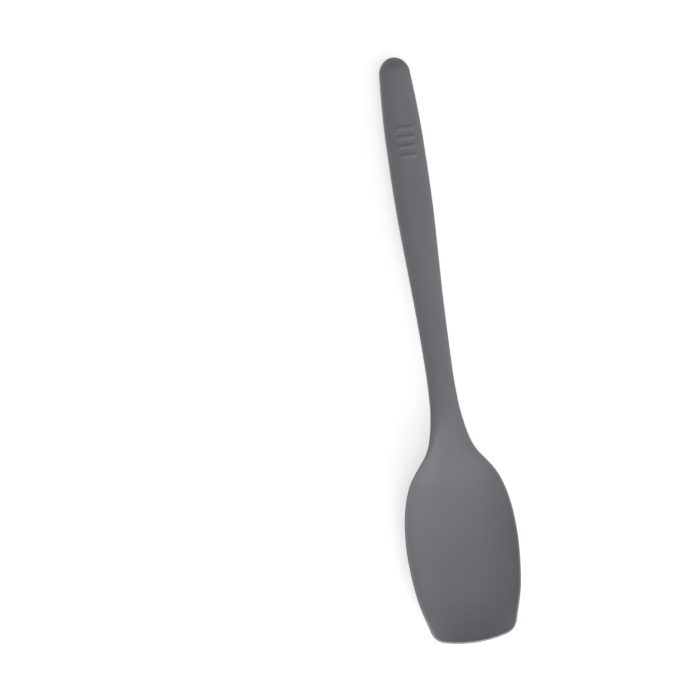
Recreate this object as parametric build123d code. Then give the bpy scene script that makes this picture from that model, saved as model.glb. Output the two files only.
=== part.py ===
from build123d import *
import math
import os

os.makedirs("parts", exist_ok=True)

# A spoon-shaped kitchen spatula: one seamless silicone skin moulded over a hidden stiff core.
# It lies on a table, hollow side up. Y runs along it, the tip at -Y and the handle's end at +Y,
# X runs across it and Z is up. The origin is under the middle of its length.
# A place along it is its distance from the tip, in millimetres.

# Lengths along the spatula
LENGTH = 280.0
WIDEST_FROM_TIP = 47.0
HIGHEST_FROM_TIP = 114.0
NECK_FROM_TIP = 128.0
FULLEST_FROM_END = 58.0
HEEL_FROM_END = 13.0
END_DOME_LENGTH = 7.5

# Widths across it
TIP_WIDTH = 37.0
BOWL_WIDTH = 53.9
NECK_WIDTH = 12.6
GRIP_WIDTH = 17.8
HANDLE_END_WIDTH = 14.4

# Rounding of the bowl's front edge, seen from above
TIP_EDGE_RADIUS = 59.0
TIP_CORNER_RADIUS = 8.0

# Heights above the table, and thicknesses
RIM_HEIGHT = 12.5
NECK_TOP_HEIGHT = 19.6
HANDLE_END_HEIGHT = 13.0
NECK_THICKNESS = 9.4
FLOOR_THICKNESS = 2.8
LIP_HEIGHT = 1.3
REST_FLAT_DEPTH = 0.25

# Rim land round the hollow, and the small step down into the hollow
RIM_LAND = 1.1
RIM_STEP = 0.3

# Where the bowl's own section turns into the handle's, and where the hollow runs out
BOWL_SECTION_TO = 80.0
HANDLE_SECTION_FROM = 126.0
LOWEST_FROM_TIP = 40.0
HOLLOW_LENGTH = 109.0
RIM_LEVEL_TO = 45.0

# Four raised grip bars on the upper face, near the handle's end
GRIP_BAR_COUNT = 4
GRIP_BAR_LENGTH = 8.2
GRIP_BAR_WIDTH = 1.7
GRIP_BAR_PITCH = 4.4
GRIP_BAR_RISE = 0.4
GRIP_BARS_FROM_END = 41.0

# Core: steel spine, nylon filler on it, pressed steel insert in the bowl, two rivets
SPINE_WIDTH = 7.0
SPINE_THICKNESS = 2.0
SPINE_END_COVER = 18.0
SPINE_HOLE_DIAMETER = 3.2
SPINE_HOLE_COUNT = 5
SPINE_HOLE_PITCH = 20.0
SPINE_HOLES_FROM_END = 36.0
FILLER_FROM_NECK = 24.0
FILLER_COVER = 2.4
FILLER_END_COVER = 13.0
FILLER_EDGE_RADIUS = 1.0
NOTCH_DIAMETER = 3.0
NOTCH_COUNT = 4
INSERT_THICKNESS = 0.8
INSERT_FROM_TIP = 15.0
INSERT_LENGTH = 57.0
INSERT_WIDTH = 33.0
INSERT_HOLE_DIAMETER = 5.0
LAP_FROM_TIP = 82.0
LAP_LENGTH = 16.0
RIVET_DIAMETER = 2.6
RIVET_HEAD_DIAMETER = 4.6
RIVET_HEAD_THICKNESS = 0.6
RIVET_PITCH = 7.0

# How far cutting tools run past what they cut, and the spacing of the sections
TIP_OVERRUN = 0.6
OVERRUN = 6.0
CORNER_OVERSHOOT = 0.1
BOWL_SECTION_PITCH = 6.5
HANDLE_SECTION_PITCH = 12.0
CORE_SECTION_PITCH = 7.0

# Each table below gives the way along a stretch and the part of the change made by then
TO_WIDEST_SHARES = [(0.0, 0.0), (0.21, 0.35), (0.51, 0.77), (0.77, 0.94), (1.0, 1.0)]
TO_NECK_SHARES = [
    (0.127, 0.025), (0.243, 0.093), (0.36, 0.231), (0.419, 0.353), (0.478, 0.522), (0.536, 0.694),
    (0.595, 0.808), (0.711, 0.92), (0.828, 0.978), (1.0, 1.0),
]
TO_FULLEST_SHARES = [(0.1, 0.034), (0.356, 0.24), (0.61, 0.62), (0.86, 0.95), (1.0, 1.0)]
TO_DOME_SHARES = [(0.4, 0.07), (0.68, 0.37), (1.0, 1.0)]
RIM_RISE_SHARES = [(0.0, 0.0), (0.42, 0.24), (0.66, 0.64), (1.0, 1.0)]
TOP_FALL_SHARES = [(0.12, 0.045), (0.38, 0.39), (0.7, 0.71), (1.0, 1.0)]
KEEL_FALL_SHARES = [(0.0, 0.0), (0.125, 0.34), (0.25, 0.59), (0.5, 0.866), (0.75, 0.97), (1.0, 1.0)]
KEEL_RISE_SHARES = [
    (0.114, 0.01), (0.227, 0.069), (0.398, 0.255), (0.568, 0.52), (0.68, 0.706), (0.795, 0.863),
    (1.0, 1.0),
]
HEEL_FALL_SHARES = [(0.13, 0.098), (0.4, 0.47), (0.75, 0.80), (1.0, 1.0)]

# The hollow: the way to where it runs out, and its depth as a share of its greatest depth
HOLLOW_DEPTH_SHARES = [
    (0.0, -0.06), (0.0105, 0.035), (0.046, 0.31), (0.092, 0.572), (0.183, 0.856), (0.275, 0.964),
    (0.367, 1.0), (0.46, 0.964), (0.55, 0.88), (0.69, 0.65), (0.826, 0.35), (0.92, 0.135),
    (1.0, 0.0), (1.05, -0.035),
]
# The land beside it, as a share of the half width that is left to it past the rim's own land
HOLLOW_LAND_SHARES = [(0.0, 0.0), (0.72, 0.0), (0.85, 0.04), (0.94, 0.2), (1.05, 0.55)]

# Section shapes as control points: shares of the half width, then of the height
BOWL_BOTTOM_SHARES = [(0.0, 0.0), (0.5, 0.0), (0.78, 0.38), (1.0, 1.0)]
HANDLE_BOTTOM_SHARES = [(0.0, 0.0), (0.6, 0.0), (1.0, 0.35), (1.0, 1.0)]
TOP_SHARES = [(1.0, 0.0), (1.0, 0.6), (0.6, 1.0), (0.0, 1.0)]
HOLLOW_SHARES = [(0.0, 0.0), (0.5, 0.0), (0.8, 0.36), (1.0, 1.0)]
CROWN_SHARE = 0.36
BELLY_SHARE = 0.45

# The insert's outline: the way along it, and its width as a share of its full width
INSERT_WIDTH_SHARES = [
    (0.0, 0.34), (0.06, 0.62), (0.15, 0.82), (0.3, 0.96), (0.48, 1.0), (0.66, 0.93), (0.83, 0.68),
    (1.0, 0.36),
]
# Keying holes in the insert: across, as a share of its half width, and along it
INSERT_HOLE_SHARES = [
    (0.0, 0.2), (0.5, 0.34), (-0.5, 0.34), (0.0, 0.48), (0.5, 0.62), (-0.5, 0.62), (0.0, 0.76),
]
DOME_ANGLES = [26.0, 48.0, 67.0, 84.0]


def stretch(start, end, first, last, shares):
    """Knots of one stretch: places along the spatula with the values reached there."""
    return [(start + way * (end - start), first + part * (last - first)) for way, part in shares]


def slopes(knots):
    """Slope at each knot, level where the values turn, so that the curve never overshoots."""
    rises = [(b[1] - a[1]) / (b[0] - a[0]) for a, b in zip(knots, knots[1:])]
    inner = [2 * a * b / (a + b) if a * b > 0 else 0.0 for a, b in zip(rises, rises[1:])]
    return [rises[0]] + inner + [rises[-1]]


def smooth(knots, place):
    """Value of the smooth curve through the knots, carried on straight past both ends."""
    grades = slopes(knots)
    if place <= knots[0][0]:
        return knots[0][1] + grades[0] * (place - knots[0][0])
    if place >= knots[-1][0]:
        return knots[-1][1] + grades[-1] * (place - knots[-1][0])
    i = max(n for n, knot in enumerate(knots) if knot[0] <= place)
    span = knots[i + 1][0] - knots[i][0]
    t = (place - knots[i][0]) / span
    start = knots[i][1] * (1 + 2 * t) * (1 - t) ** 2 + grades[i] * span * t * (1 - t) ** 2
    finish = knots[i + 1][1] * t * t * (3 - 2 * t) - grades[i + 1] * span * t * t * (1 - t)
    return start + finish


def mix(a, b, share):
    return a + (b - a) * share


DOME_START = LENGTH - END_DOME_LENGTH
FULLEST_FROM_TIP = LENGTH - FULLEST_FROM_END
HEEL_FROM_TIP = LENGTH - HEEL_FROM_END
FILLER_FROM_TIP = NECK_FROM_TIP + FILLER_FROM_NECK
NECK_KEEL_HEIGHT = NECK_TOP_HEIGHT - NECK_THICKNESS
GREATEST_DEPTH = RIM_HEIGHT - FLOOR_THICKNESS
HALF_WIDTH_KNOTS = (
    stretch(0, WIDEST_FROM_TIP, TIP_WIDTH / 2, BOWL_WIDTH / 2, TO_WIDEST_SHARES)
    + stretch(WIDEST_FROM_TIP, NECK_FROM_TIP, BOWL_WIDTH / 2, NECK_WIDTH / 2, TO_NECK_SHARES)
    + stretch(NECK_FROM_TIP, FULLEST_FROM_TIP, NECK_WIDTH / 2, GRIP_WIDTH / 2, TO_FULLEST_SHARES)
    + stretch(FULLEST_FROM_TIP, DOME_START, GRIP_WIDTH / 2, HANDLE_END_WIDTH / 2, TO_DOME_SHARES)
)
TOP_KNOTS = (
    [(0, RIM_HEIGHT)]
    + stretch(RIM_LEVEL_TO, HIGHEST_FROM_TIP, RIM_HEIGHT, NECK_TOP_HEIGHT, RIM_RISE_SHARES)
    + stretch(HIGHEST_FROM_TIP, DOME_START, NECK_TOP_HEIGHT, HANDLE_END_HEIGHT, TOP_FALL_SHARES)
)
KEEL_KNOTS = (
    stretch(0, LOWEST_FROM_TIP, RIM_HEIGHT - LIP_HEIGHT, -REST_FLAT_DEPTH, KEEL_FALL_SHARES)
    + stretch(LOWEST_FROM_TIP, HIGHEST_FROM_TIP, -REST_FLAT_DEPTH, NECK_KEEL_HEIGHT, KEEL_RISE_SHARES)
    + stretch(HIGHEST_FROM_TIP, HEEL_FROM_TIP, NECK_KEEL_HEIGHT, -REST_FLAT_DEPTH, HEEL_FALL_SHARES)
    + [(LENGTH, -REST_FLAT_DEPTH)]
)
HOLLOW_DEPTH_KNOTS = stretch(0, HOLLOW_LENGTH, 0, GREATEST_DEPTH, HOLLOW_DEPTH_SHARES)
HOLLOW_LAND_KNOTS = stretch(0, HOLLOW_LENGTH, 0, 1, HOLLOW_LAND_SHARES)
INSERT_WIDTH_KNOTS = stretch(
    INSERT_FROM_TIP, INSERT_FROM_TIP + INSERT_LENGTH, 0, INSERT_WIDTH / 2, INSERT_WIDTH_SHARES
)


def half_width(place):
    return smooth(HALF_WIDTH_KNOTS, place)


def top_height(place):
    return smooth(TOP_KNOTS, place)


def keel_height(place):
    return smooth(KEEL_KNOTS, place)


def floor_height(place):
    return top_height(place) - smooth(HOLLOW_DEPTH_KNOTS, place)


def hollow_half_width(place):
    left = half_width(place) - RIM_LAND
    return left * (1 - smooth(HOLLOW_LAND_KNOTS, place))


def handle_share(place):
    """0 where the section is the bowl's own, 1 where it is the handle's, smooth between."""
    t = (place - BOWL_SECTION_TO) / (HANDLE_SECTION_FROM - BOWL_SECTION_TO)
    t = min(max(t, 0.0), 1.0)
    return t * t * (3 - 2 * t)


def along(place):
    """Y of a place that is counted from the tip."""
    return place - LENGTH / 2


def cross_plane(place):
    """Plane across the spatula, its own x to +X and its own y up."""
    return Plane(origin=(0, along(place), 0), x_dir=(1, 0, 0), z_dir=(0, -1, 0))


def curve_points(shares, half, low, height):
    """Control points of a section curve from its shares."""
    return [(half * across, low + height * up) for across, up in shares]


def bottom_shares(place):
    """Shares of the lower curve at a place, between the bowl's and the handle's."""
    share = handle_share(place)
    pairs = zip(BOWL_BOTTOM_SHARES, HANDLE_BOTTOM_SHARES)
    return [(mix(b[0], h[0], share), mix(b[1], h[1], share)) for b, h in pairs]


def closed_section(place, low_curve, high_curve):
    """Face across the spatula from the two right-hand curves, mirrored to the left."""
    right = [Bezier(*low_curve), Line(low_curve[-1], high_curve[0]), Bezier(*high_curve)]
    low_left = [(-x, y) for x, y in reversed(low_curve)]
    high_left = [(-x, y) for x, y in reversed(high_curve)]
    left = [Bezier(*high_left), Line(high_left[-1], low_left[0]), Bezier(*low_left)]
    return cross_plane(place) * make_face(right + left)


def body_section(place, inset=0.0, scale=1.0):
    """Section of the body, drawn in by an inset, or scaled about its middle in the end dome."""
    top = top_height(place) - inset
    keel = keel_height(place) + inset
    share = handle_share(place)
    edge_top = top - share * CROWN_SHARE * (top - keel)
    edge_low = mix(top - LIP_HEIGHT, keel + BELLY_SHARE * (top - keel), share)
    half = half_width(place) - inset
    low_curve = curve_points(bottom_shares(place), half, keel, edge_low - keel)
    high_curve = curve_points(TOP_SHARES, half, edge_top, top - edge_top)
    middle = (top + keel) / 2
    low_curve = [(x * scale, middle + (y - middle) * scale) for x, y in low_curve]
    high_curve = [(x * scale, middle + (y - middle) * scale) for x, y in high_curve]
    return low_curve, high_curve


def evenly(start, end, pitch):
    """Places from start to end, both included, about one pitch apart."""
    count = max(1, round((end - start) / pitch))
    return [start + (end - start) * n / count for n in range(count + 1)]


def body_loft():
    """Outer form of the whole spatula, before the front edge is cut to its outline."""
    places = evenly(-TIP_OVERRUN, NECK_FROM_TIP, BOWL_SECTION_PITCH)
    places += evenly(NECK_FROM_TIP, DOME_START, HANDLE_SECTION_PITCH)[1:]
    sections = [closed_section(place, *body_section(place)) for place in places]
    last_sine = math.sin(math.radians(DOME_ANGLES[-1]))
    for angle in DOME_ANGLES:
        reach = END_DOME_LENGTH * math.sin(math.radians(angle)) / last_sine
        curves = body_section(DOME_START, scale=math.cos(math.radians(angle)))
        sections.append(closed_section(DOME_START + reach, *curves))
    return loft(sections)


def front_waste(inset):
    """What lies outside the front edge and its corners, drawn in by an inset, seen from above."""
    far = 4 * TIP_CORNER_RADIUS
    near_side = half_width(0) - inset + CORNER_OVERSHOOT
    slant = half_width(far / 2) - half_width(0)
    far_side = near_side + 2 * slant + CORNER_OVERSHOOT
    wedge = Polygon(
        (near_side - slant, along(-far / 2)),
        (far_side, along(far)),
        (-far_side, along(far)),
        (-near_side + slant, along(-far / 2)),
        align=None,
    )
    disc = Pos(0, along(TIP_EDGE_RADIUS)) * Circle(TIP_EDGE_RADIUS - inset)
    front = disc & wedge
    corners = front.vertices().sort_by(Axis.Y)[:2]
    front = fillet(corners, TIP_CORNER_RADIUS - inset)
    height = RIM_HEIGHT + 2 * OVERRUN
    keep = Pos(0, 0, -2 * OVERRUN) * extrude(front, height + 2 * OVERRUN)
    depth = far / 2 + OVERRUN
    block = Box(BOWL_WIDTH, depth, height)
    return Pos(0, along(far / 2 - depth / 2), RIM_HEIGHT / 2) * block - keep


def hollow_tool():
    """What is taken out of the bowl: its floor follows the wall, its sides stand on the land."""
    sections = []
    for place in evenly(-TIP_OVERRUN, HOLLOW_LENGTH + OVERRUN / 2, BOWL_SECTION_PITCH):
        half = hollow_half_width(place)
        floor = floor_height(place)
        fade = handle_share(place)
        edge = top_height(place) - mix(RIM_STEP, -RIM_STEP, fade)
        low_curve = curve_points(HOLLOW_SHARES, half, floor, edge - floor)
        ceiling = top_height(place) + OVERRUN / 2
        high_curve = curve_points(TOP_SHARES, half, ceiling, OVERRUN / 2)
        sections.append(closed_section(place, low_curve, high_curve))
    return loft(sections) - front_waste(RIM_LAND)


def curve_height(points, across):
    """Height of a section curve at a distance across, found by halving."""
    low, high = 0.0, 1.0
    for _ in range(40):
        t = (low + high) / 2
        weights = [(1 - t) ** 3, 3 * t * (1 - t) ** 2, 3 * t * t * (1 - t), t ** 3]
        reached = sum(w * p[0] for w, p in zip(weights, points))
        low, high = (t, high) if reached < across else (low, t)
    return sum(w * p[1] for w, p in zip(weights, points))


def wall_middle(place, across=0.0):
    """Height half way through the bowl's wall."""
    outer = body_section(place)[0]
    floor = floor_height(place)
    edge = top_height(place) - RIM_STEP
    inner = curve_points(HOLLOW_SHARES, hollow_half_width(place), floor, edge - floor)
    under = max(curve_height(outer, across), 0.0)
    return (under + curve_height(inner, across)) / 2


def lap_height(place):
    """Height of the face where the insert's tongue lies on the spine, a straight slope."""
    lap_end = LAP_FROM_TIP + LAP_LENGTH
    first = wall_middle(LAP_FROM_TIP)
    last = wall_middle(lap_end)
    middle = mix(first, last, (place - LAP_FROM_TIP) / LAP_LENGTH)
    return middle + (SPINE_THICKNESS - INSERT_THICKNESS) / 2


def spine_top(place):
    return (top_height(place) + keel_height(place) + SPINE_THICKNESS) / 2


def lap_slope():
    rise = lap_height(LAP_FROM_TIP + LAP_LENGTH) - lap_height(LAP_FROM_TIP)
    return math.degrees(math.atan2(rise, LAP_LENGTH))


def rivet_places():
    middle = LAP_FROM_TIP + LAP_LENGTH / 2
    return [middle - RIVET_PITCH / 2, middle + RIVET_PITCH / 2]


def on_lap(place):
    """Location on the lap face, its own z square to the face."""
    return Pos(0, along(place), lap_height(place)) * Rot(lap_slope(), 0, 0)


def rivet_bores():
    reach = SPINE_THICKNESS + INSERT_THICKNESS + OVERRUN
    return [on_lap(place) * Cylinder(RIVET_DIAMETER / 2, reach) for place in rivet_places()]


def core_spine():
    """Steel strip from the bowl's shoulder to near the handle's end, bent to the neck."""
    last = LENGTH - SPINE_END_COVER
    lap_end = LAP_FROM_TIP + LAP_LENGTH
    free = evenly((lap_end + NECK_FROM_TIP) / 2, last, 2 * HANDLE_SECTION_PITCH)
    upper = [(along(lap_end), lap_height(lap_end))] + [(along(p), spine_top(p)) for p in free]
    lower = [(y, z - SPINE_THICKNESS) for y, z in upper]
    slope = math.radians(lap_slope())
    leave = (math.cos(slope), math.sin(slope))
    arrive = (upper[-1][0] - upper[-2][0], upper[-1][1] - upper[-2][1])
    front = (along(LAP_FROM_TIP), lap_height(LAP_FROM_TIP))
    front_low = (front[0], front[1] - SPINE_THICKNESS)
    profile = make_face([
        Line(front, upper[0]),
        Spline(*upper, tangents=[leave, arrive]),
        Line(upper[-1], lower[-1]),
        Spline(*lower, tangents=[leave, arrive]),
        Line(lower[0], front_low),
        Line(front_low, front),
    ])
    strip = extrude(Plane.YZ * profile, SPINE_WIDTH / 2, both=True)
    length = last - LAP_FROM_TIP
    plan = Pos(0, along((last + LAP_FROM_TIP) / 2)) * Rot(0, 0, 90) * SlotOverall(length, SPINE_WIDTH)
    strip = strip & extrude(plan, NECK_TOP_HEIGHT + OVERRUN)
    for n in range(SPINE_HOLE_COUNT):
        place = LENGTH - SPINE_HOLES_FROM_END - n * SPINE_HOLE_PITCH
        strip -= Pos(0, along(place), 0) * Cylinder(SPINE_HOLE_DIAMETER / 2, 2 * NECK_TOP_HEIGHT)
    for bore in rivet_bores():
        strip -= bore
    return strip


def band(place, half, low, rise):
    """Thin curved section of the insert: low in the middle, higher at its edges."""
    lower = [(-half, low + rise), (0, low - rise), (half, low + rise)]
    upper = [(x, y + INSERT_THICKNESS) for x, y in reversed(lower)]
    edges = [Bezier(*lower), Line(lower[-1], upper[0]), Bezier(*upper), Line(upper[-1], lower[0])]
    return cross_plane(place) * make_face(edges)


def insert_band(place):
    half = smooth(INSERT_WIDTH_KNOTS, place)
    low = wall_middle(place)
    return band(place, half, low - INSERT_THICKNESS / 2, wall_middle(place, half) - low)


def bowl_insert():
    """Pressed steel dish inside the bowl's wall, with a flat tongue that lies on the spine."""
    dish_end = INSERT_FROM_TIP + INSERT_LENGTH
    places = evenly(INSERT_FROM_TIP, dish_end, CORE_SECTION_PITCH)
    dish = loft([insert_band(place) for place in places])
    for across, way in INSERT_HOLE_SHARES:
        spot = Pos(across * INSERT_WIDTH / 2, along(INSERT_FROM_TIP + way * INSERT_LENGTH), 0)
        dish -= spot * Cylinder(INSERT_HOLE_DIAMETER / 2, 2 * RIM_HEIGHT)
    flat_places = [LAP_FROM_TIP - INSERT_THICKNESS, LAP_FROM_TIP + LAP_LENGTH]
    flat = [band(place, SPINE_WIDTH / 2, lap_height(place), 0.0) for place in flat_places]
    tongue = loft([insert_band(dish_end)] + flat, ruled=True)
    insert = dish + tongue
    for bore in rivet_bores():
        insert -= bore
    return insert


def lap_rivets():
    """Two rivets with flat heads on both faces of the lap."""
    rivets = []
    for place in rivet_places():
        stack = SPINE_THICKNESS + INSERT_THICKNESS
        middle = (INSERT_THICKNESS - SPINE_THICKNESS) / 2
        offset = (stack + RIVET_HEAD_THICKNESS) / 2
        shank = Pos(0, 0, middle) * Cylinder(RIVET_DIAMETER / 2, stack + RIVET_HEAD_THICKNESS)
        head = Cylinder(RIVET_HEAD_DIAMETER / 2, RIVET_HEAD_THICKNESS)
        rivet = shank + Pos(0, 0, middle + offset) * head + Pos(0, 0, middle - offset) * head
        rivets.append(on_lap(place) * rivet)
    return rivets


def handle_filler(spine):
    """Nylon moulded on the spine, with side notches that lock the skin to it."""
    last = LENGTH - FILLER_END_COVER
    places = evenly(FILLER_FROM_TIP, last, HANDLE_SECTION_PITCH)
    sections = [closed_section(place, *body_section(place, FILLER_COVER)) for place in places]
    filler = loft(sections)
    ends = filler.faces().sort_by(Axis.Y)
    filler = fillet(ends[0].edges() + ends[-1].edges(), FILLER_EDGE_RADIUS)
    for place in evenly(FILLER_FROM_TIP, last, (last - FILLER_FROM_TIP) / (NOTCH_COUNT + 1))[1:-1]:
        for side in (-1, 1):
            x = side * (half_width(place) - FILLER_COVER)
            filler -= Pos(x, along(place), 0) * Cylinder(NOTCH_DIAMETER / 2, 2 * NECK_TOP_HEIGHT)
    return filler - spine


def grip_bars():
    """Short raised bars across the handle's upper face, which follow its crown."""
    reach = GRIP_BAR_COUNT * GRIP_BAR_PITCH / 2
    middle = LENGTH - GRIP_BARS_FROM_END
    places = evenly(middle - reach, middle + reach, 2 * GRIP_BAR_PITCH)
    shell = loft([closed_section(p, *body_section(p, -GRIP_BAR_RISE)) for p in places])
    bars = []
    for n in range(GRIP_BAR_COUNT):
        y = along(middle) + (n - (GRIP_BAR_COUNT - 1) / 2) * GRIP_BAR_PITCH
        slot = extrude(SlotOverall(GRIP_BAR_LENGTH, GRIP_BAR_WIDTH), NECK_TOP_HEIGHT)
        middle_height = (top_height(middle) + keel_height(middle)) / 2 + FILLER_COVER
        bars.append((Pos(0, y, middle_height) * slot) & shell)
    return bars


def silicone_body(core):
    """The seamless skin: the outer form less the hollow and less the core inside it."""
    body = body_loft() - front_waste(0)
    below = Box(BOWL_WIDTH + OVERRUN, LENGTH + OVERRUN, OVERRUN)
    body -= Pos(0, 0, -OVERRUN / 2) * below
    body -= hollow_tool()
    for bar in grip_bars():
        body += bar
    for piece in core:
        body -= piece
    return body


spine = core_spine()
insert = bowl_insert()
rivets = lap_rivets()
filler = handle_filler(spine)
skin = silicone_body([filler, spine, insert] + rivets)

export_step(skin, "parts/silicone_body.step")
export_step(filler, "parts/handle_filler.step")
export_step(spine, "parts/core_spine.step")
export_step(insert, "parts/bowl_insert.step")
export_step(Compound(children=rivets), "parts/lap_rivets.step")
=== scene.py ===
import math

import bpy
import numpy as np
from mathutils import Matrix, Vector


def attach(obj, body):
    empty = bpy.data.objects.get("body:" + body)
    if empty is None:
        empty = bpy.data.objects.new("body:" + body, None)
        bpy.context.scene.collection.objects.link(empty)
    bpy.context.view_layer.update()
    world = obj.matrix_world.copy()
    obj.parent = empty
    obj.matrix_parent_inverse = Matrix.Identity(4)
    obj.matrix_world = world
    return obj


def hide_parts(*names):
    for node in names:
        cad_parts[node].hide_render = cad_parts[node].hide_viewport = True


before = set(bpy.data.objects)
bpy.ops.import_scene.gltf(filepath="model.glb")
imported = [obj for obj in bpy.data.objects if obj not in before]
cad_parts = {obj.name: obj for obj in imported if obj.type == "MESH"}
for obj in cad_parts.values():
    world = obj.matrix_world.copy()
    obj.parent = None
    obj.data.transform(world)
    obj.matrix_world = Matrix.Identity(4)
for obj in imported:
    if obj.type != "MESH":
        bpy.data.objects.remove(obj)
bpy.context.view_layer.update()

MM_PER_METRE = 1000
TINY = 1e-6

# The photograph's frame, and where the tool's axis lies in it, in pixels
PHOTO_WIDTH = 679
PHOTO_HEIGHT = 682
AXIS_MIDDLE = (434.42, 349.57)
PIXELS_PER_MM = 2.112
AXIS_LEAN = math.radians(8.1)

# The camera: far off with a long lens, a little to the tool's left; distances in metres
CAMERA_DISTANCE = 1.6
CAMERA_YAW = math.radians(7.4)
CAMERA_CLIP = (0.05, 20)
SENSOR_WIDTH = 36.0
AIM_HEIGHT = 0.0098

# The tool's form in millimetres, as in the part. A place is counted from the tip.
LENGTH = 280.0
WIDEST_FROM_TIP = 47.0
HIGHEST_FROM_TIP = 114.0
NECK_FROM_TIP = 128.0
FULLEST_FROM_TIP = LENGTH - 58.0
HEEL_FROM_TIP = LENGTH - 13.0
DOME_LENGTH = 7.5
DOME_START = LENGTH - DOME_LENGTH
TIP_WIDTH = 37.0
BOWL_WIDTH = 53.86
NECK_WIDTH = 12.6
GRIP_WIDTH = 17.8
END_WIDTH = 14.4
TIP_RADIUS = 59.0
CORNER_RADIUS = 8.0
RIM_HEIGHT = 12.5
TOP_HEIGHT = 19.6
END_HEIGHT = 13.0
NECK_THICKNESS = 9.4
FLOOR_THICKNESS = 2.8
LIP_HEIGHT = 1.3
REST_FLAT_DEPTH = 0.25
RIM_LAND = 1.1
RIM_STEP = 0.3
BOWL_SECTION_TO = 80.0
HANDLE_SECTION_FROM = 126.0
LOWEST_FROM_TIP = 40.0
HOLLOW_LENGTH = 109.0
RIM_LEVEL_TO = 45.0
CROWN_SHARE = 0.36
BELLY_SHARE = 0.45

# The way along a stretch, and the part of the change made by then
TO_WIDEST = [(0.0, 0.0), (0.21, 0.35), (0.51, 0.77), (0.77, 0.94), (1.0, 1.0)]
TO_NECK = [
    (0.127, 0.025), (0.243, 0.093), (0.36, 0.231), (0.419, 0.353), (0.478, 0.522), (0.536, 0.694),
    (0.595, 0.808), (0.711, 0.92), (0.828, 0.978), (1.0, 1.0),
]
TO_FULLEST = [(0.1, 0.034), (0.356, 0.24), (0.61, 0.62), (0.86, 0.95), (1.0, 1.0)]
TO_DOME = [(0.4, 0.07), (0.68, 0.37), (1.0, 1.0)]
RIM_RISE = [(0.0, 0.0), (0.42, 0.24), (0.66, 0.64), (1.0, 1.0)]
TOP_FALL = [(0.12, 0.045), (0.38, 0.39), (0.7, 0.71), (1.0, 1.0)]
KEEL_FALL = [(0.0, 0.0), (0.125, 0.34), (0.25, 0.59), (0.5, 0.866), (0.75, 0.97), (1.0, 1.0)]
KEEL_RISE = [
    (0.114, 0.01), (0.227, 0.069), (0.398, 0.255), (0.568, 0.52), (0.68, 0.706), (0.795, 0.863),
    (1.0, 1.0),
]
HEEL_FALL = [(0.13, 0.098), (0.4, 0.47), (0.75, 0.80), (1.0, 1.0)]
HOLLOW_DEPTH = [
    (0.0, -0.06), (0.0105, 0.035), (0.046, 0.31), (0.092, 0.572), (0.183, 0.856), (0.275, 0.964),
    (0.367, 1.0), (0.46, 0.964), (0.55, 0.88), (0.69, 0.65), (0.826, 0.35), (0.92, 0.135),
    (1.0, 0.0), (1.05, -0.035),
]
HOLLOW_LAND = [(0.0, 0.0), (0.72, 0.0), (0.85, 0.04), (0.94, 0.2), (1.05, 0.55)]

# Section curves as control points: shares of the half width, then of the height
BOWL_BOTTOM = [(0.0, 0.0), (0.5, 0.0), (0.78, 0.38), (1.0, 1.0)]
HANDLE_BOTTOM = [(0.0, 0.0), (0.6, 0.0), (1.0, 0.35), (1.0, 1.0)]
TOP = [(0.0, 1.0), (0.6, 1.0), (1.0, 0.6), (1.0, 0.0)]
HOLLOW = [(0.0, 0.0), (0.5, 0.0), (0.8, 0.36), (1.0, 1.0)]

# How far to each side a line along the tool is evened
WIDTH_SPREAD = 2.5
TOP_SPREAD = 6.0
KEEL_SPREAD = 3.0
DEPTH_SPREAD = 1.0
LAND_SPREAD = 6.0

# Raised grip bars across the handle
BAR_COUNT = 4
BAR_LENGTH = 8.2
BAR_WIDTH = 1.7
BAR_PITCH = 4.4
BAR_RISE = 0.38
BAR_SOFTNESS = 0.34
BARS_FROM_END = 41.0

# The mesh's rings: in the bowl their distance from the edge, and in the handle the last share
# of its section curve, along which they lie
TOP_RINGS = [2.7, 2.2, 1.8, 1.5, 1.3, 1.16, 1.04, 0.92, 0.76, 0.56, 0.38, 0.24, 0.12, 0.04, 0.0]
LOW_RINGS = [0.0, 0.05, 0.14, 0.27, 0.45, 0.75, 1.2, 1.8, 2.7]
RING_CURVE_REACH = 0.5

# The mesh's columns and the spacing of its rows, which is finer at the bars and at both ends
COLUMNS = 48
ROW_PITCH = 0.9
FINE_PITCH = 0.24
FINE_MARGIN = 1.0
FINE_FADE = 6.0
END_PITCH = 0.5
END_PITCH_FADE = (4.0, 14.0)
TIP_BEND_REACH = 22.0
END_BEND_REACH = 9.0

# Numbers of points from which the outline is worked out, and how many of the last ones the
# end's columns take; places among which the front corner is looked for, and rounds of that
TIP_POINTS = 80
CORNER_POINTS = 60
SIDE_POINTS = 2400
DOME_POINTS = 160
END_COLUMN_POINTS = 70
CORNER_SEARCH = np.arange(0.0, 30.0, 0.02)
CORNER_ROUNDS = 50

# Places at which the lines along the tool are kept, and points on a section curve
GRID_MARGIN = 12.0
GRID_STEP = 0.1
GRID = np.arange(-GRID_MARGIN, LENGTH + GRID_MARGIN, GRID_STEP)
CURVE_POINTS = 4001

# Points measured at once against the outline, and the most that a distance from it counts
CHUNK = 4000
EDGE_REACH = TOP_RINGS[0] + 30

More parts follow.
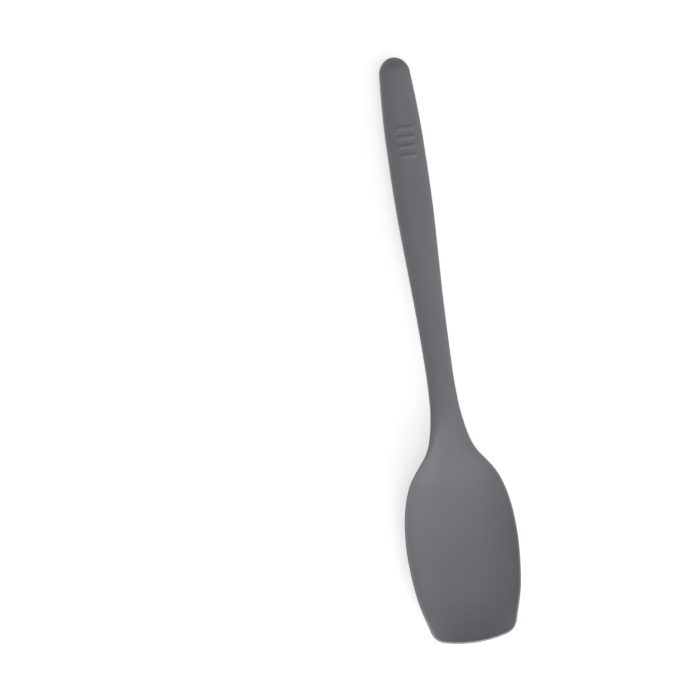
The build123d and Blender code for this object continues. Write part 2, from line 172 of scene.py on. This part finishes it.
# Roundings of the mesh, slopes of its steep faces, and how softly one face meets another
RIM_ROUNDING = 0.42
TIP_ROUNDING = 1.15
TIP_ROUNDING_DEPTH = 0.85
TIP_ROUNDING_FROM = 8.0
TIP_ROUNDING_TO = 26.0
LIP_ROUNDING = 0.3
LIP_ROUNDING_REACH = 0.35
EDGE_WALL_SLOPE = 1.25
EDGE_WALL_FADE = (40.0, 60.0)
EDGE_WALL_SOFTNESS = 0.5
HOLLOW_EDGE_SLOPE = 1.3
HOLLOW_END_SLOPE = 0.25
HOLLOW_RUN_ON = HOLLOW_LENGTH * 1.06
LEAST_HOLLOW_HALF = 0.5
BRINK_SOFTNESS = (0.22, 1.1)
REST_SOFTNESS = 0.3
FRONT_REACH = 30.0

# The painted highlight of the rim, a pale colour that stands in for light caught along the edge:
# where it fades inwards, and its strength along the sides
RIM_HIGHLIGHT_FADE = (0.75, 1.15)
SIDE_RIM_HIGHLIGHT = 0.12

# Colours and gloss of the materials
SILICONE_TINTS = ((0.156, 0.160, 0.172, 1), (0.169, 0.1735, 0.187, 1))
# The rim's pale colour is a painted highlight, not a colour of the silicone
SILICONE_RIM_HIGHLIGHT = (0.32, 0.326, 0.341, 1)
SILICONE_ROUGHNESS = (0.5, 0.57)
SILICONE_IOR = 1.42
STEEL_COLOUR = (0.56, 0.57, 0.58, 1)
STEEL_ROUGHNESS = (0.26, 0.42)
NYLON_TINTS = ((0.03, 0.03, 0.03, 1), (0.06, 0.06, 0.06, 1))
NYLON_ROUGHNESS = 0.6
WHITE = (1, 1, 1, 1)

# The part of a noise's range over which the silicone's tint and gloss change, the noises'
# scales per metre, and the depths of the surface detail in metres
CLOUD_RANGE = (0.3, 0.7)
CLOUD_SCALE = 38.0
GRAIN_SCALE = 3000.0
STEEL_LINES = (4000, 60, 4000)
NYLON_FIBRES = (2500, 500, 2500)
GRAIN_DEPTH = 0.00005
SEAM_DEPTH = 0.0001
STEEL_DEPTH = 0.00002
NYLON_DEPTH = 0.00003

# The studio: each lamp's place and size in metres, then its power in watts
LAMPS = {
    "tip_low": ((0.1, -1.3, 0.38), (2.4, 0.6), 7.7),
    "tip_mid": ((0.1, -1.1, 0.85), (0.9, 0.7), 2.4),
    "tip_right": ((0.8, -1.0, 0.5), (0.7, 0.5), 3.5),
    "right_low": ((1.3, -0.1, 0.45), (0.5, 1.4), 3.4),
    "left_low": ((-1.3, 0.0, 0.45), (0.5, 1.4), 1.6),
    "above": ((0.0, 0.0, 2.0), (1.2, 1.2), 6.2),
}
WORLD_STRENGTH = 0.32
FLOOR_SIZE = 6
FLOOR_COLOUR = (0.9, 0.9, 0.9, 1)
FLOOR_ROUGHNESS = 0.9
FLOOR_GLOW = 0.5


def stretch(start, end, first, last, shares):
    """Knots from start to end, where a value goes from first to last by the shares."""
    return [(start + way * (end - start), first + part * (last - first)) for way, part in shares]


def sampled(knots, spread):
    """The smooth curve through the knots at every place of GRID, evened over the spread."""
    places = np.array([knot[0] for knot in knots])
    values = np.array([knot[1] for knot in knots])
    rises = np.diff(values) / np.diff(places)
    inner = [2 * a * b / (a + b) if a * b > 0 else 0.0 for a, b in zip(rises, rises[1:])]
    grades = np.array([rises[0]] + inner + [rises[-1]])
    i = np.clip(np.searchsorted(places, GRID, side="right") - 1, 0, len(places) - 2)
    span = places[i + 1] - places[i]
    t = (GRID - places[i]) / span
    line = values[i] * (1 + 2 * t) * (1 - t) ** 2 + grades[i] * span * t * (1 - t) ** 2
    line += values[i + 1] * t * t * (3 - 2 * t) - grades[i + 1] * span * t * t * (1 - t)
    before = values[0] + grades[0] * (GRID - places[0])
    after = values[-1] + grades[-1] * (GRID - places[-1])
    line = np.where(GRID < places[0], before, np.where(GRID > places[-1], after, line))
    reach = round(spread / GRID_STEP)
    weights = np.hanning(2 * reach + 3)[1:-1]
    head = 2 * line[0] - line[reach:0:-1]
    tail = 2 * line[-1] - line[-2:-reach - 2:-1]
    return np.convolve(np.concatenate([head, line, tail]), weights / weights.sum(), "valid")


NECK_KEEL = TOP_HEIGHT - NECK_THICKNESS
DEPTH = RIM_HEIGHT - FLOOR_THICKNESS
HALF_LINE = sampled(
    stretch(0, WIDEST_FROM_TIP, TIP_WIDTH / 2, BOWL_WIDTH / 2, TO_WIDEST)
    + stretch(WIDEST_FROM_TIP, NECK_FROM_TIP, BOWL_WIDTH / 2, NECK_WIDTH / 2, TO_NECK)
    + stretch(NECK_FROM_TIP, FULLEST_FROM_TIP, NECK_WIDTH / 2, GRIP_WIDTH / 2, TO_FULLEST)
    + stretch(FULLEST_FROM_TIP, DOME_START, GRIP_WIDTH / 2, END_WIDTH / 2, TO_DOME),
    WIDTH_SPREAD,
)
TOP_LINE = sampled(
    [(0, RIM_HEIGHT)]
    + stretch(RIM_LEVEL_TO, HIGHEST_FROM_TIP, RIM_HEIGHT, TOP_HEIGHT, RIM_RISE)
    + stretch(HIGHEST_FROM_TIP, DOME_START, TOP_HEIGHT, END_HEIGHT, TOP_FALL),
    TOP_SPREAD,
)
KEEL_LINE = sampled(
    stretch(0, LOWEST_FROM_TIP, RIM_HEIGHT - LIP_HEIGHT, -REST_FLAT_DEPTH, KEEL_FALL)
    + stretch(LOWEST_FROM_TIP, HIGHEST_FROM_TIP, -REST_FLAT_DEPTH, NECK_KEEL, KEEL_RISE)
    + stretch(HIGHEST_FROM_TIP, HEEL_FROM_TIP, NECK_KEEL, -REST_FLAT_DEPTH, HEEL_FALL)
    + [(LENGTH, -REST_FLAT_DEPTH)],
    KEEL_SPREAD,
)
DEPTH_LINE = sampled(stretch(0, HOLLOW_LENGTH, 0, DEPTH, HOLLOW_DEPTH), DEPTH_SPREAD)
LAND_LINE = sampled(stretch(0, HOLLOW_LENGTH, 0, 1, HOLLOW_LAND), LAND_SPREAD)


def at(line, place):
    """Value at a place of a line that is kept at the places of GRID."""
    return np.interp(place, GRID, line)


def blend(low, high, value):
    """0 below low and 1 above high, smooth between."""
    t = np.clip((value - low) / (high - low), 0, 1)
    return t * t * (3 - 2 * t)


def mix(a, b, share):
    """a where the share is 0 and b where it is 1."""
    return a + (b - a) * share


def smooth_min(a, b, radius):
    """The lower of two heights, with a rounded change from one to the other."""
    h = np.clip(0.5 + 0.5 * (b - a) / radius, 0, 1)
    return mix(b, a, h) - radius * h * (1 - h)


def smooth_max(a, b, radius):
    """The higher of two heights, in the same way."""
    return -smooth_min(-a, -b, radius)


def bezier(points, t):
    """Points across and up on the cubic curve of four control points."""
    weights = [(1 - t) ** 3, 3 * t * (1 - t) ** 2, 3 * t * t * (1 - t), t ** 3]
    across = sum(w * p[0] for w, p in zip(weights, points))
    height = sum(w * p[1] for w, p in zip(weights, points))
    return across, height


def curve_at(points, across):
    """Height share of a section curve at a share of the half width."""
    return np.interp(across, *bezier(points, np.linspace(0, 1, CURVE_POINTS)))


def handle_share(place):
    """0 where the section is the bowl's, and 1 where it is the handle's."""
    return blend(BOWL_SECTION_TO, HANDLE_SECTION_FROM, place)


def dome_scale(place):
    """How much of the section is left in the round end."""
    way = np.clip((place - DOME_START) / DOME_LENGTH, 0, 1)
    return np.sqrt(1 - way * way)


def near_tip(place):
    """1 at the front edge, and 0 behind the bowl's front."""
    return 1 - blend(TIP_ROUNDING_FROM, TIP_ROUNDING_TO, place)


def front_place(x, place):
    """Place counted from the curved front edge near it, and from the tip further back."""
    sag = TIP_RADIUS - np.sqrt(TIP_RADIUS ** 2 - np.clip(np.abs(x), 0, BOWL_WIDTH / 2) ** 2)
    return place - sag * (1 - blend(0, FRONT_REACH, place))


def half_share(x, place):
    """Share of the half width at which a point lies."""
    half = np.maximum(at(HALF_LINE, place) * dome_scale(place), TINY)
    return np.clip(np.abs(x) / half, 0, 1)


def bars(x, place):
    """Height of the raised grip bars."""
    rise = np.zeros_like(x)
    for n in range(BAR_COUNT):
        middle = LENGTH - BARS_FROM_END + (n - (BAR_COUNT - 1) / 2) * BAR_PITCH
        past_end = np.maximum(np.abs(x) - (BAR_LENGTH - BAR_WIDTH) / 2, 0)
        away = np.hypot(past_end, place - middle)
        inner = BAR_WIDTH / 2 - BAR_SOFTNESS
        rise = np.maximum(rise, BAR_RISE * (1 - blend(inner, inner + 2 * BAR_SOFTNESS, away)))
    return rise


def wall_drop(place):
    """How far the front edge's wall is lowered out of the way behind the bowl's front."""
    return TOP_HEIGHT * blend(*EDGE_WALL_FADE, place)


def top_surface(x, place, edge):
    """Height of the upper face at points whose distance from the outline is edge."""
    share = handle_share(place)
    top = at(TOP_LINE, place)
    keel = at(KEEL_LINE, place)
    shoulder = top - share * CROWN_SHARE * (top - keel)
    crown = mix(shoulder, top, curve_at(TOP, half_share(x, place)))
    tip = near_tip(place)
    reach = mix(RIM_ROUNDING, TIP_ROUNDING, tip)
    inside = np.clip(1 - edge / reach, 0, 1)
    fall = mix(RIM_ROUNDING, TIP_ROUNDING_DEPTH, tip)
    crown -= (1 - share) * fall * (1 - np.sqrt(1 - inside ** 2))
    far = np.minimum(place, HOLLOW_RUN_ON)
    half = (at(HALF_LINE, far) - RIM_LAND) * (1 - at(LAND_LINE, far))
    half = np.maximum(half, LEAST_HOLLOW_HALF)
    floor = top - at(DEPTH_LINE, np.minimum(front_place(x, place), HOLLOW_RUN_ON))
    brink = top - mix(RIM_STEP, -RIM_STEP, share)
    dish = mix(floor, brink, curve_at(HOLLOW, np.clip(np.abs(x) / half, 0, 1)))
    dish += HOLLOW_EDGE_SLOPE * np.maximum(np.abs(x) - half, 0)
    dish += HOLLOW_END_SLOPE * np.maximum(place - HOLLOW_LENGTH, 0)
    wall = top - RIM_STEP - EDGE_WALL_SLOPE * (edge - RIM_LAND) - wall_drop(place)
    dish = smooth_max(dish, wall, EDGE_WALL_SOFTNESS)
    height = smooth_min(crown, dish, mix(*BRINK_SOFTNESS, share)) + bars(x, place)
    middle = (top + keel) / 2
    return middle + (height - middle) * dome_scale(place)


def low_surface(x, place, edge):
    """Height of the lower face at the same points."""
    share = handle_share(place)
    top = at(TOP_LINE, place)
    keel = at(KEEL_LINE, place)
    front_keel = at(KEEL_LINE, front_place(x, place))
    brink = mix(top - LIP_HEIGHT, keel + BELLY_SHARE * (top - keel), share)
    across = half_share(x, place)
    rise = mix(curve_at(BOWL_BOTTOM, across), curve_at(HANDLE_BOTTOM, across), share)
    height = mix(front_keel, brink, rise)
    wall = top - LIP_HEIGHT - EDGE_WALL_SLOPE * edge - wall_drop(place)
    height = smooth_max(height, wall, EDGE_WALL_SOFTNESS)
    rounding = np.clip(1 - edge / LIP_ROUNDING_REACH, 0, 1) ** 2
    height += (1 - share) * LIP_ROUNDING * rounding
    middle = (top + keel) / 2
    height = middle + (height - middle) * dome_scale(place)
    return smooth_max(height, np.zeros_like(height), REST_SOFTNESS)


def corner_circle():
    """Centre of the front corner's rounding, the angle of its start, and where it ends."""
    side = np.stack([at(HALF_LINE, CORNER_SEARCH), CORNER_SEARCH], 1)
    low, high = 0.0, math.pi / 4
    for _ in range(CORNER_ROUNDS):
        angle = (low + high) / 2
        reach = TIP_RADIUS - CORNER_RADIUS
        centre = np.array([reach * math.sin(angle), TIP_RADIUS - reach * math.cos(angle)])
        gaps = np.hypot(*(side - centre).T)
        low, high = (angle, high) if gaps.min() > CORNER_RADIUS else (low, angle)
    return centre, angle, side[gaps.argmin()]


def right_outline():
    """The outline's right half from the tip's middle on, and where its side starts and ends."""
    centre, angle, meets = corner_circle()
    front = np.linspace(0, angle, TIP_POINTS, endpoint=False)
    tip = np.stack([TIP_RADIUS * np.sin(front), TIP_RADIUS * (1 - np.cos(front))], 1)
    start = -math.pi / 2 + angle
    finish = math.atan2(meets[1] - centre[1], meets[0] - centre[0])
    turn = np.linspace(start, finish, CORNER_POINTS, endpoint=False)
    corner = centre + CORNER_RADIUS * np.stack([np.cos(turn), np.sin(turn)], 1)
    places = np.linspace(meets[1], DOME_START, SIDE_POINTS, endpoint=False)
    side = np.stack([at(HALF_LINE, places), places], 1)
    round_end = np.linspace(0, math.pi / 2, DOME_POINTS)
    places = DOME_START + DOME_LENGTH * np.sin(round_end)
    dome = np.stack([at(HALF_LINE, places) * np.cos(round_end), places], 1)
    points = np.concatenate([tip, corner, side, dome])
    return points, len(tip) + len(corner) // 2, len(points) - END_COLUMN_POINTS


def lengths(points):
    """Distance of each point from the first, along them."""
    steps = np.hypot(*np.diff(points, axis=0).T)
    return np.concatenate([[0], np.cumsum(steps)])


def resampled(points, stations):
    """The points at other distances along them."""
    run = lengths(points)
    return np.stack([np.interp(stations, run, points[:, k]) for k in (0, 1)], 1)


def evenly(points, steps):
    """The points again at equal steps along them."""
    return resampled(points, np.linspace(0, lengths(points)[-1], steps + 1))


def side_stations(points):
    """Distances along the side, closer together at its ends and beside the grip bars."""
    run = lengths(points)
    reach = BAR_COUNT * BAR_PITCH / 2 + FINE_MARGIN
    away = np.abs(points[:, 1] - (LENGTH - BARS_FROM_END))
    pitch = mix(FINE_PITCH, ROW_PITCH, blend(reach, reach + FINE_FADE, away))
    from_end = np.minimum(run, run[-1] - run)
    pitch = np.minimum(pitch, mix(END_PITCH, ROW_PITCH, blend(*END_PITCH_FADE, from_end)))
    count = np.concatenate([[0], np.cumsum(np.diff(run) / ((pitch[1:] + pitch[:-1]) / 2))])
    rows = int(round(count[-1]))
    return np.interp(np.linspace(0, count[-1], rows + 1), count, run)


def outline():
    """The closed outline from the left front corner on, and its number of rows."""
    points, corner, shoulder = right_outline()
    tip = evenly(points[:corner + 1], COLUMNS // 2)
    side = points[corner:shoulder + 1]
    side = resampled(side, side_stations(side))
    end = evenly(points[shoulder:], COLUMNS // 2)
    right = np.concatenate([tip, side[1:], end[1:]])
    left = right[::-1] * (-1, 1)
    loop = np.concatenate([right[:-1], left[:-1]])
    loop = np.roll(loop, COLUMNS // 2, axis=0)
    return loop, len(side) - 1


def inward(loop):
    """Directions to the inside, at right angles to the outline."""
    along = np.roll(loop, -1, axis=0) - np.roll(loop, 1, axis=0)
    along /= np.hypot(*along.T)[:, None]
    return np.stack([-along[:, 1], along[:, 0]], 1)


def ring(loop, normals, bowl_offset, curve, t):
    """Plan points of one ring, and their distance from the outline."""
    share = handle_share(loop[:, 1])
    half = at(HALF_LINE, np.minimum(loop[:, 1], DOME_START))
    handle_offset = half * (1 - bezier(curve, t)[0])
    offset = mix(bowl_offset, handle_offset, share)
    return loop + normals * offset[:, None], offset


def grid_points(border, rows):
    """Plan points inside a ring: straight rows, which bend to the ring near both its ends."""
    tip = border[:COLUMNS + 1]
    right = border[COLUMNS:COLUMNS + rows + 1]
    end = border[COLUMNS + rows:2 * COLUMNS + rows + 1][::-1]
    left = np.concatenate([border[2 * COLUMNS + rows:], border[:1]])[::-1]
    way = np.linspace(0, 1, COLUMNS + 1)[None, :, None]
    plan = mix(left[:, None, :], right[:, None, :], way)
    tip_bend = 1 - blend(0, TIP_BEND_REACH, right[:, 1] - right[0, 1])
    end_bend = 1 - blend(0, END_BEND_REACH, right[-1, 1] - right[:, 1])
    plan = plan + tip_bend[:, None, None] * (tip - mix(left[0], right[0], way[0]))[None]
    return plan + end_bend[:, None, None] * (end - mix(left[-1], right[-1], way[0]))[None]


def edge_distance(points, loop):
    """Distance of points from the outline."""
    found = np.empty(len(points))
    for start in range(0, len(points), CHUNK):
        part = points[start:start + CHUNK]
        gaps = np.hypot(part[:, None, 0] - loop[None, :, 0], part[:, None, 1] - loop[None, :, 1])
        found[start:start + CHUNK] = gaps.min(1)
    return found


def border_indices(rows, first):
    """Index of each border point of the grid in the ring that starts at vertex first."""
    count = 2 * (COLUMNS + rows)
    indices = np.full((rows + 1, COLUMNS + 1), -1)
    i = np.arange(COLUMNS + 1)
    j = np.arange(rows + 1)
    indices[0, :] = first + i
    indices[:, COLUMNS] = first + COLUMNS + j
    indices[rows, :] = first + 2 * COLUMNS + rows - i
    indices[1:, 0] = first + count - j[1:]
    return indices


def quads(indices):
    """Four-sided faces between the points of a grid."""
    corners = [indices[:-1, :-1], indices[:-1, 1:], indices[1:, 1:], indices[1:, :-1]]
    return np.stack([c.ravel() for c in corners], 1)


def face_rings(loop, normals, offsets, curve, shares, surface):
    """Rings round the edge on one face, and their points' distances from the outline."""
    rings = []
    edges = []
    for offset, t in zip(offsets, shares):
        plan, edge = ring(loop, normals, offset, curve, t)
        rings.append(np.column_stack([plan, surface(plan[:, 0], plan[:, 1], edge)]))
        edges.append(edge)
    return rings, edges


def curve_shares(count):
    """Places on a section curve for a number of rings, from its end back."""
    return [1 - RING_CURVE_REACH * n / (count - 1) for n in range(count)]


def edge_rings(loop):
    """All rings, from the upper face over the edge to the lower face."""
    normals = inward(loop)
    top_shares = curve_shares(len(TOP_RINGS))[::-1]
    low_shares = curve_shares(len(LOW_RINGS))
    upper, upper_edges = face_rings(loop, normals, TOP_RINGS, TOP, top_shares, top_surface)
    lower, lower_edges = face_rings(
        loop, normals, LOW_RINGS, HANDLE_BOTTOM, low_shares, low_surface
    )
    parting = (upper[-1] + lower[0]) / 2
    return upper + [parting] + lower, upper_edges + [np.zeros(len(loop))] + lower_edges


def skin_mesh():
    """The whole skin as one closed mesh of four-sided faces, and its marks: the parting line and
    the painted rim highlight.
    """
    loop, rows = outline()
    count = len(loop)
    vertices, edges = edge_rings(loop)
    last = len(vertices) - 1
    around = np.arange(count)
    faces = []
    for k in range(last):
        a = k * count + around
        b = k * count + np.roll(around, -1)
        faces.append(np.stack([a, a + count, b + count, b], 1))
    used = len(vertices) * count
    for border_ring, surface, up in ((0, top_surface, True), (last, low_surface, False)):
        plan = grid_points(vertices[border_ring][:, :2], rows)
        inner = plan[1:-1, 1:-1].reshape(-1, 2)
        edge = np.minimum(edge_distance(inner, loop), EDGE_REACH)
        vertices.append(np.column_stack([inner, surface(inner[:, 0], inner[:, 1], edge)]))
        edges.append(edge)
        indices = border_indices(rows, border_ring * count)
        indices[1:-1, 1:-1] = used + np.arange(len(inner)).reshape(rows - 1, COLUMNS - 1)
        used += len(inner)
        grid = quads(indices)
        faces.append(grid if up else grid[:, ::-1])
    vertices = np.concatenate(vertices)
    edges = np.concatenate(edges)
    parting_start = len(TOP_RINGS) * count
    seam = np.zeros(len(vertices))
    seam[parting_start:parting_start + count] = 1
    upper = np.zeros(len(vertices))
    upper[:parting_start] = 1
    # Painted highlight along the rim on the bowl's upper face, fading inwards and strongest at the
    # front edge
    painted_rim_highlight = upper * (1 - handle_share(vertices[:, 1])) * (1 - blend(*RIM_HIGHLIGHT_FADE, edges))
    painted_rim_highlight *= mix(SIDE_RIM_HIGHLIGHT, 1, near_tip(vertices[:, 1]))
    vertices[:, 1] -= LENGTH / 2
    return vertices / MM_PER_METRE, np.concatenate(faces), {"seam": seam, "painted_rim_highlight": painted_rim_highlight}


def make_object(name, vertices, faces, marks):
    """A smooth mesh object that carries each mark as an attribute of its points."""
    mesh = bpy.data.meshes.new(name)
    mesh.from_pydata(vertices.tolist(), [], faces.tolist())
    mesh.polygons.foreach_set("use_smooth", np.ones(len(faces), bool))
    for mark, values in marks.items():
        layer = mesh.attributes.new(mark, "FLOAT", "POINT")
        layer.data.foreach_set("value", values.astype(np.float32))
    mesh.update()
    piece = bpy.data.objects.new(name, mesh)
    bpy.context.scene.collection.objects.link(piece)
    return piece


def new_material(name):
    """A node material, and what its nodes are made and joined with."""
    material = bpy.data.materials.new(name)
    material.use_nodes = True
    nodes = material.node_tree.nodes
    return material, nodes, material.node_tree.links, nodes["Principled BSDF"]


def add_node(nodes, kind, **values):
    """A new node with its settings, or the values of its sockets, by name."""
    node = nodes.new(kind)
    for key, value in values.items():
        if hasattr(node, key):
            setattr(node, key, value)
        else:
            node.inputs[key.replace("_", " ")].default_value = value
    return node


def noise(nodes, links, place, **values):
    """Noise at a place, with the values of its sockets."""
    node = add_node(nodes, "ShaderNodeTexNoise", **values)
    links.new(place, node.inputs["Vector"])
    return node.outputs["Fac"]


def drawn_noise(nodes, links, scales, detail):
    """Noise whose scale differs along the three axes, so that it makes lines or fibres."""
    place = nodes.new("ShaderNodeTexCoord")
    drawn = add_node(nodes, "ShaderNodeMapping", Scale=scales)
    links.new(place.outputs["Object"], drawn.inputs["Vector"])
    return noise(nodes, links, drawn.outputs["Vector"], Scale=1.0, Detail=detail)


def tinted(nodes, links, value, tints, places=(0, 1)):
    """A colour between two tints."""
    ramp = nodes.new("ShaderNodeValToRGB")
    for stop, place, tint in zip(ramp.color_ramp.elements, places, tints):
        stop.position = place
        stop.color = tint
    links.new(value, ramp.inputs["Fac"])
    return ramp.outputs["Color"]


def ranged(nodes, links, value, low, high, places=(0, 1)):
    """A value between low and high."""
    node = add_node(nodes, "ShaderNodeMapRange", From_Min=places[0], From_Max=places[1],
                    To_Min=low, To_Max=high)
    links.new(value, node.inputs["Value"])
    return node.outputs["Result"]


def bumped(nodes, links, height, normal=None, **values):
    """The surface direction after a bump, which may lie on another bump."""
    node = add_node(nodes, "ShaderNodeBump", **values)
    links.new(height, node.inputs["Height"])
    if normal is not None:
        links.new(normal, node.inputs["Normal"])
    return node.outputs["Normal"]


def mesh_mark(nodes, name):
    """A mark that the mesh carries."""
    return add_node(nodes, "ShaderNodeAttribute", attribute_name=name).outputs["Fac"]


def silicone_material():
    """Matt grey silicone: fine moulded grain, faint unevenness, a parting line at its edge, and a
    pale painted highlight along the bowl's rim.
    """
    material, nodes, links, shader = new_material("silicone_skin")
    place = nodes.new("ShaderNodeTexCoord").outputs["Object"]
    cloud = noise(nodes, links, place, Scale=CLOUD_SCALE, Detail=3.0, Roughness=0.5)
    tint = tinted(nodes, links, cloud, SILICONE_TINTS, CLOUD_RANGE)
    # The pale rim colour, a painted highlight, is mixed in where the mesh carries its mark
    colour = add_node(nodes, "ShaderNodeMix", data_type="RGBA")
    colour.inputs["B"].default_value = SILICONE_RIM_HIGHLIGHT
    links.new(mesh_mark(nodes, "painted_rim_highlight"), colour.inputs["Factor"])
    links.new(tint, colour.inputs["A"])
    links.new(colour.outputs["Result"], shader.inputs["Base Color"])
    rough = ranged(nodes, links, cloud, *SILICONE_ROUGHNESS, places=CLOUD_RANGE)
    links.new(rough, shader.inputs["Roughness"])
    shader.inputs["IOR"].default_value = SILICONE_IOR
    grain = noise(nodes, links, place, Scale=GRAIN_SCALE, Detail=3.0)
    fine = bumped(nodes, links, grain, Strength=0.6, Distance=GRAIN_DEPTH)
    line = bumped(nodes, links, mesh_mark(nodes, "seam"), fine, Strength=0.4, Distance=SEAM_DEPTH)
    links.new(line, shader.inputs["Normal"])
    return material


def steel_material():
    """Rolled steel with fine lines along the strip."""
    material, nodes, links, shader = new_material("core_steel")
    lines = drawn_noise(nodes, links, STEEL_LINES, detail=3.0)
    shader.inputs["Base Color"].default_value = STEEL_COLOUR
    shader.inputs["Metallic"].default_value = 1
    rough = ranged(nodes, links, lines, *STEEL_ROUGHNESS)
    links.new(rough, shader.inputs["Roughness"])
    normal = bumped(nodes, links, lines, Strength=0.3, Distance=STEEL_DEPTH)
    links.new(normal, shader.inputs["Normal"])
    return material


def nylon_material():
    """Glass-filled nylon: nearly black, with a short fibre grain."""
    material, nodes, links, shader = new_material("core_nylon")
    fibres = drawn_noise(nodes, links, NYLON_FIBRES, detail=2.0)
    links.new(tinted(nodes, links, fibres, NYLON_TINTS), shader.inputs["Base Color"])
    shader.inputs["Roughness"].default_value = NYLON_ROUGHNESS
    normal = bumped(nodes, links, fibres, Strength=0.3, Distance=NYLON_DEPTH)
    links.new(normal, shader.inputs["Normal"])
    return material


def make_skin():
    """The silicone skin, which stands for the silicone solid of the frame."""
    skin = make_object("silicone_skin", *skin_mesh())
    skin.data.materials.append(silicone_material())
    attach(skin, "root")
    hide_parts("silicone_body")


def dress_core():
    """Materials for the core's own meshes, which the skin hides."""
    steel = steel_material()
    dress = {
        "handle_filler": nylon_material(),
        "core_spine": steel,
        "bowl_insert": steel,
        "lap_rivets": steel,
    }
    for name, material in dress.items():
        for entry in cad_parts[name].material_slots:
            entry.material = material


def make_camera():
    """The photograph's view: the tool leans and lies off the frame's middle as it does there."""
    metres_per_pixel = 1 / (MM_PER_METRE * PIXELS_PER_MM)
    up = Vector((math.sin(AXIS_LEAN), math.cos(AXIS_LEAN), 0))
    toward = Vector((-math.sin(CAMERA_YAW), 0, math.cos(CAMERA_YAW)))
    right = up.cross(toward).normalized()
    up = toward.cross(right).normalized()
    aim = Vector((0, 0, AIM_HEIGHT))
    aim = aim - right * (AXIS_MIDDLE[0] - PHOTO_WIDTH / 2) * metres_per_pixel
    aim = aim + up * (AXIS_MIDDLE[1] - PHOTO_HEIGHT / 2) * metres_per_pixel
    data = bpy.data.cameras.new("camera")
    camera = bpy.data.objects.new("camera", data)
    bpy.context.scene.collection.objects.link(camera)
    turn = Matrix((right, up, toward)).transposed()
    camera.matrix_world = Matrix.Translation(aim + toward * CAMERA_DISTANCE) @ turn.to_4x4()
    data.sensor_width = SENSOR_WIDTH
    seen = max(PHOTO_WIDTH, PHOTO_HEIGHT) * metres_per_pixel
    data.lens = SENSOR_WIDTH * CAMERA_DISTANCE / seen
    data.clip_start, data.clip_end = CAMERA_CLIP
    bpy.context.scene.camera = camera


def glow_where_seen(nodes, links, hidden, seen):
    """A strength that is one value for the light on the tool and another where it is looked at."""
    path = nodes.new("ShaderNodeLightPath")
    looked_at = path.outputs["Is Camera Ray"]
    for kind in ("Is Glossy Ray", "Is Transmission Ray"):
        either = add_node(nodes, "ShaderNodeMath", operation="MAXIMUM")
        links.new(looked_at, either.inputs[0])
        links.new(path.outputs[kind], either.inputs[1])
        looked_at = either.outputs["Value"]
    return ranged(nodes, links, looked_at, hidden, seen)


def make_floor():
    """A pale floor that looks white and keeps the tool's shadow."""
    bpy.ops.mesh.primitive_plane_add(size=FLOOR_SIZE)
    floor = bpy.context.object
    floor.name = "floor"
    material, nodes, links, shader = new_material("floor")
    shader.inputs["Base Color"].default_value = FLOOR_COLOUR
    shader.inputs["Roughness"].default_value = FLOOR_ROUGHNESS
    shader.inputs["Specular IOR Level"].default_value = 0
    shader.inputs["Emission Color"].default_value = WHITE
    glow = glow_where_seen(nodes, links, 0, FLOOR_GLOW)
    links.new(glow, shader.inputs["Emission Strength"])
    floor.data.materials.append(material)


def make_world():
    """Soft light from all round, white where it is looked at."""
    world = bpy.data.worlds.new("world")
    bpy.context.scene.world = world
    world.use_nodes = True
    nodes = world.node_tree.nodes
    links = world.node_tree.links
    background = nodes["Background"]
    background.inputs["Color"].default_value = WHITE
    glow = glow_where_seen(nodes, links, WORLD_STRENGTH, 1)
    links.new(glow, background.inputs["Strength"])


def make_light(name, place, size, power):
    """A soft rectangular lamp that faces the tool."""
    data = bpy.data.lights.new(name, "AREA")
    data.shape = "RECTANGLE"
    data.size, data.size_y = size
    data.energy = power
    light = bpy.data.objects.new(name, data)
    bpy.context.scene.collection.objects.link(light)
    light.location = place
    light.rotation_mode = "QUATERNION"
    light.rotation_quaternion = Vector(place).to_track_quat("Z", "Y")


make_camera()
make_skin()
dress_core()
make_floor()
for name, (place, size, power) in LAMPS.items():
    make_light(name, place, size, power)
make_world()
bpy.context.scene.view_settings.view_transform = "Standard"
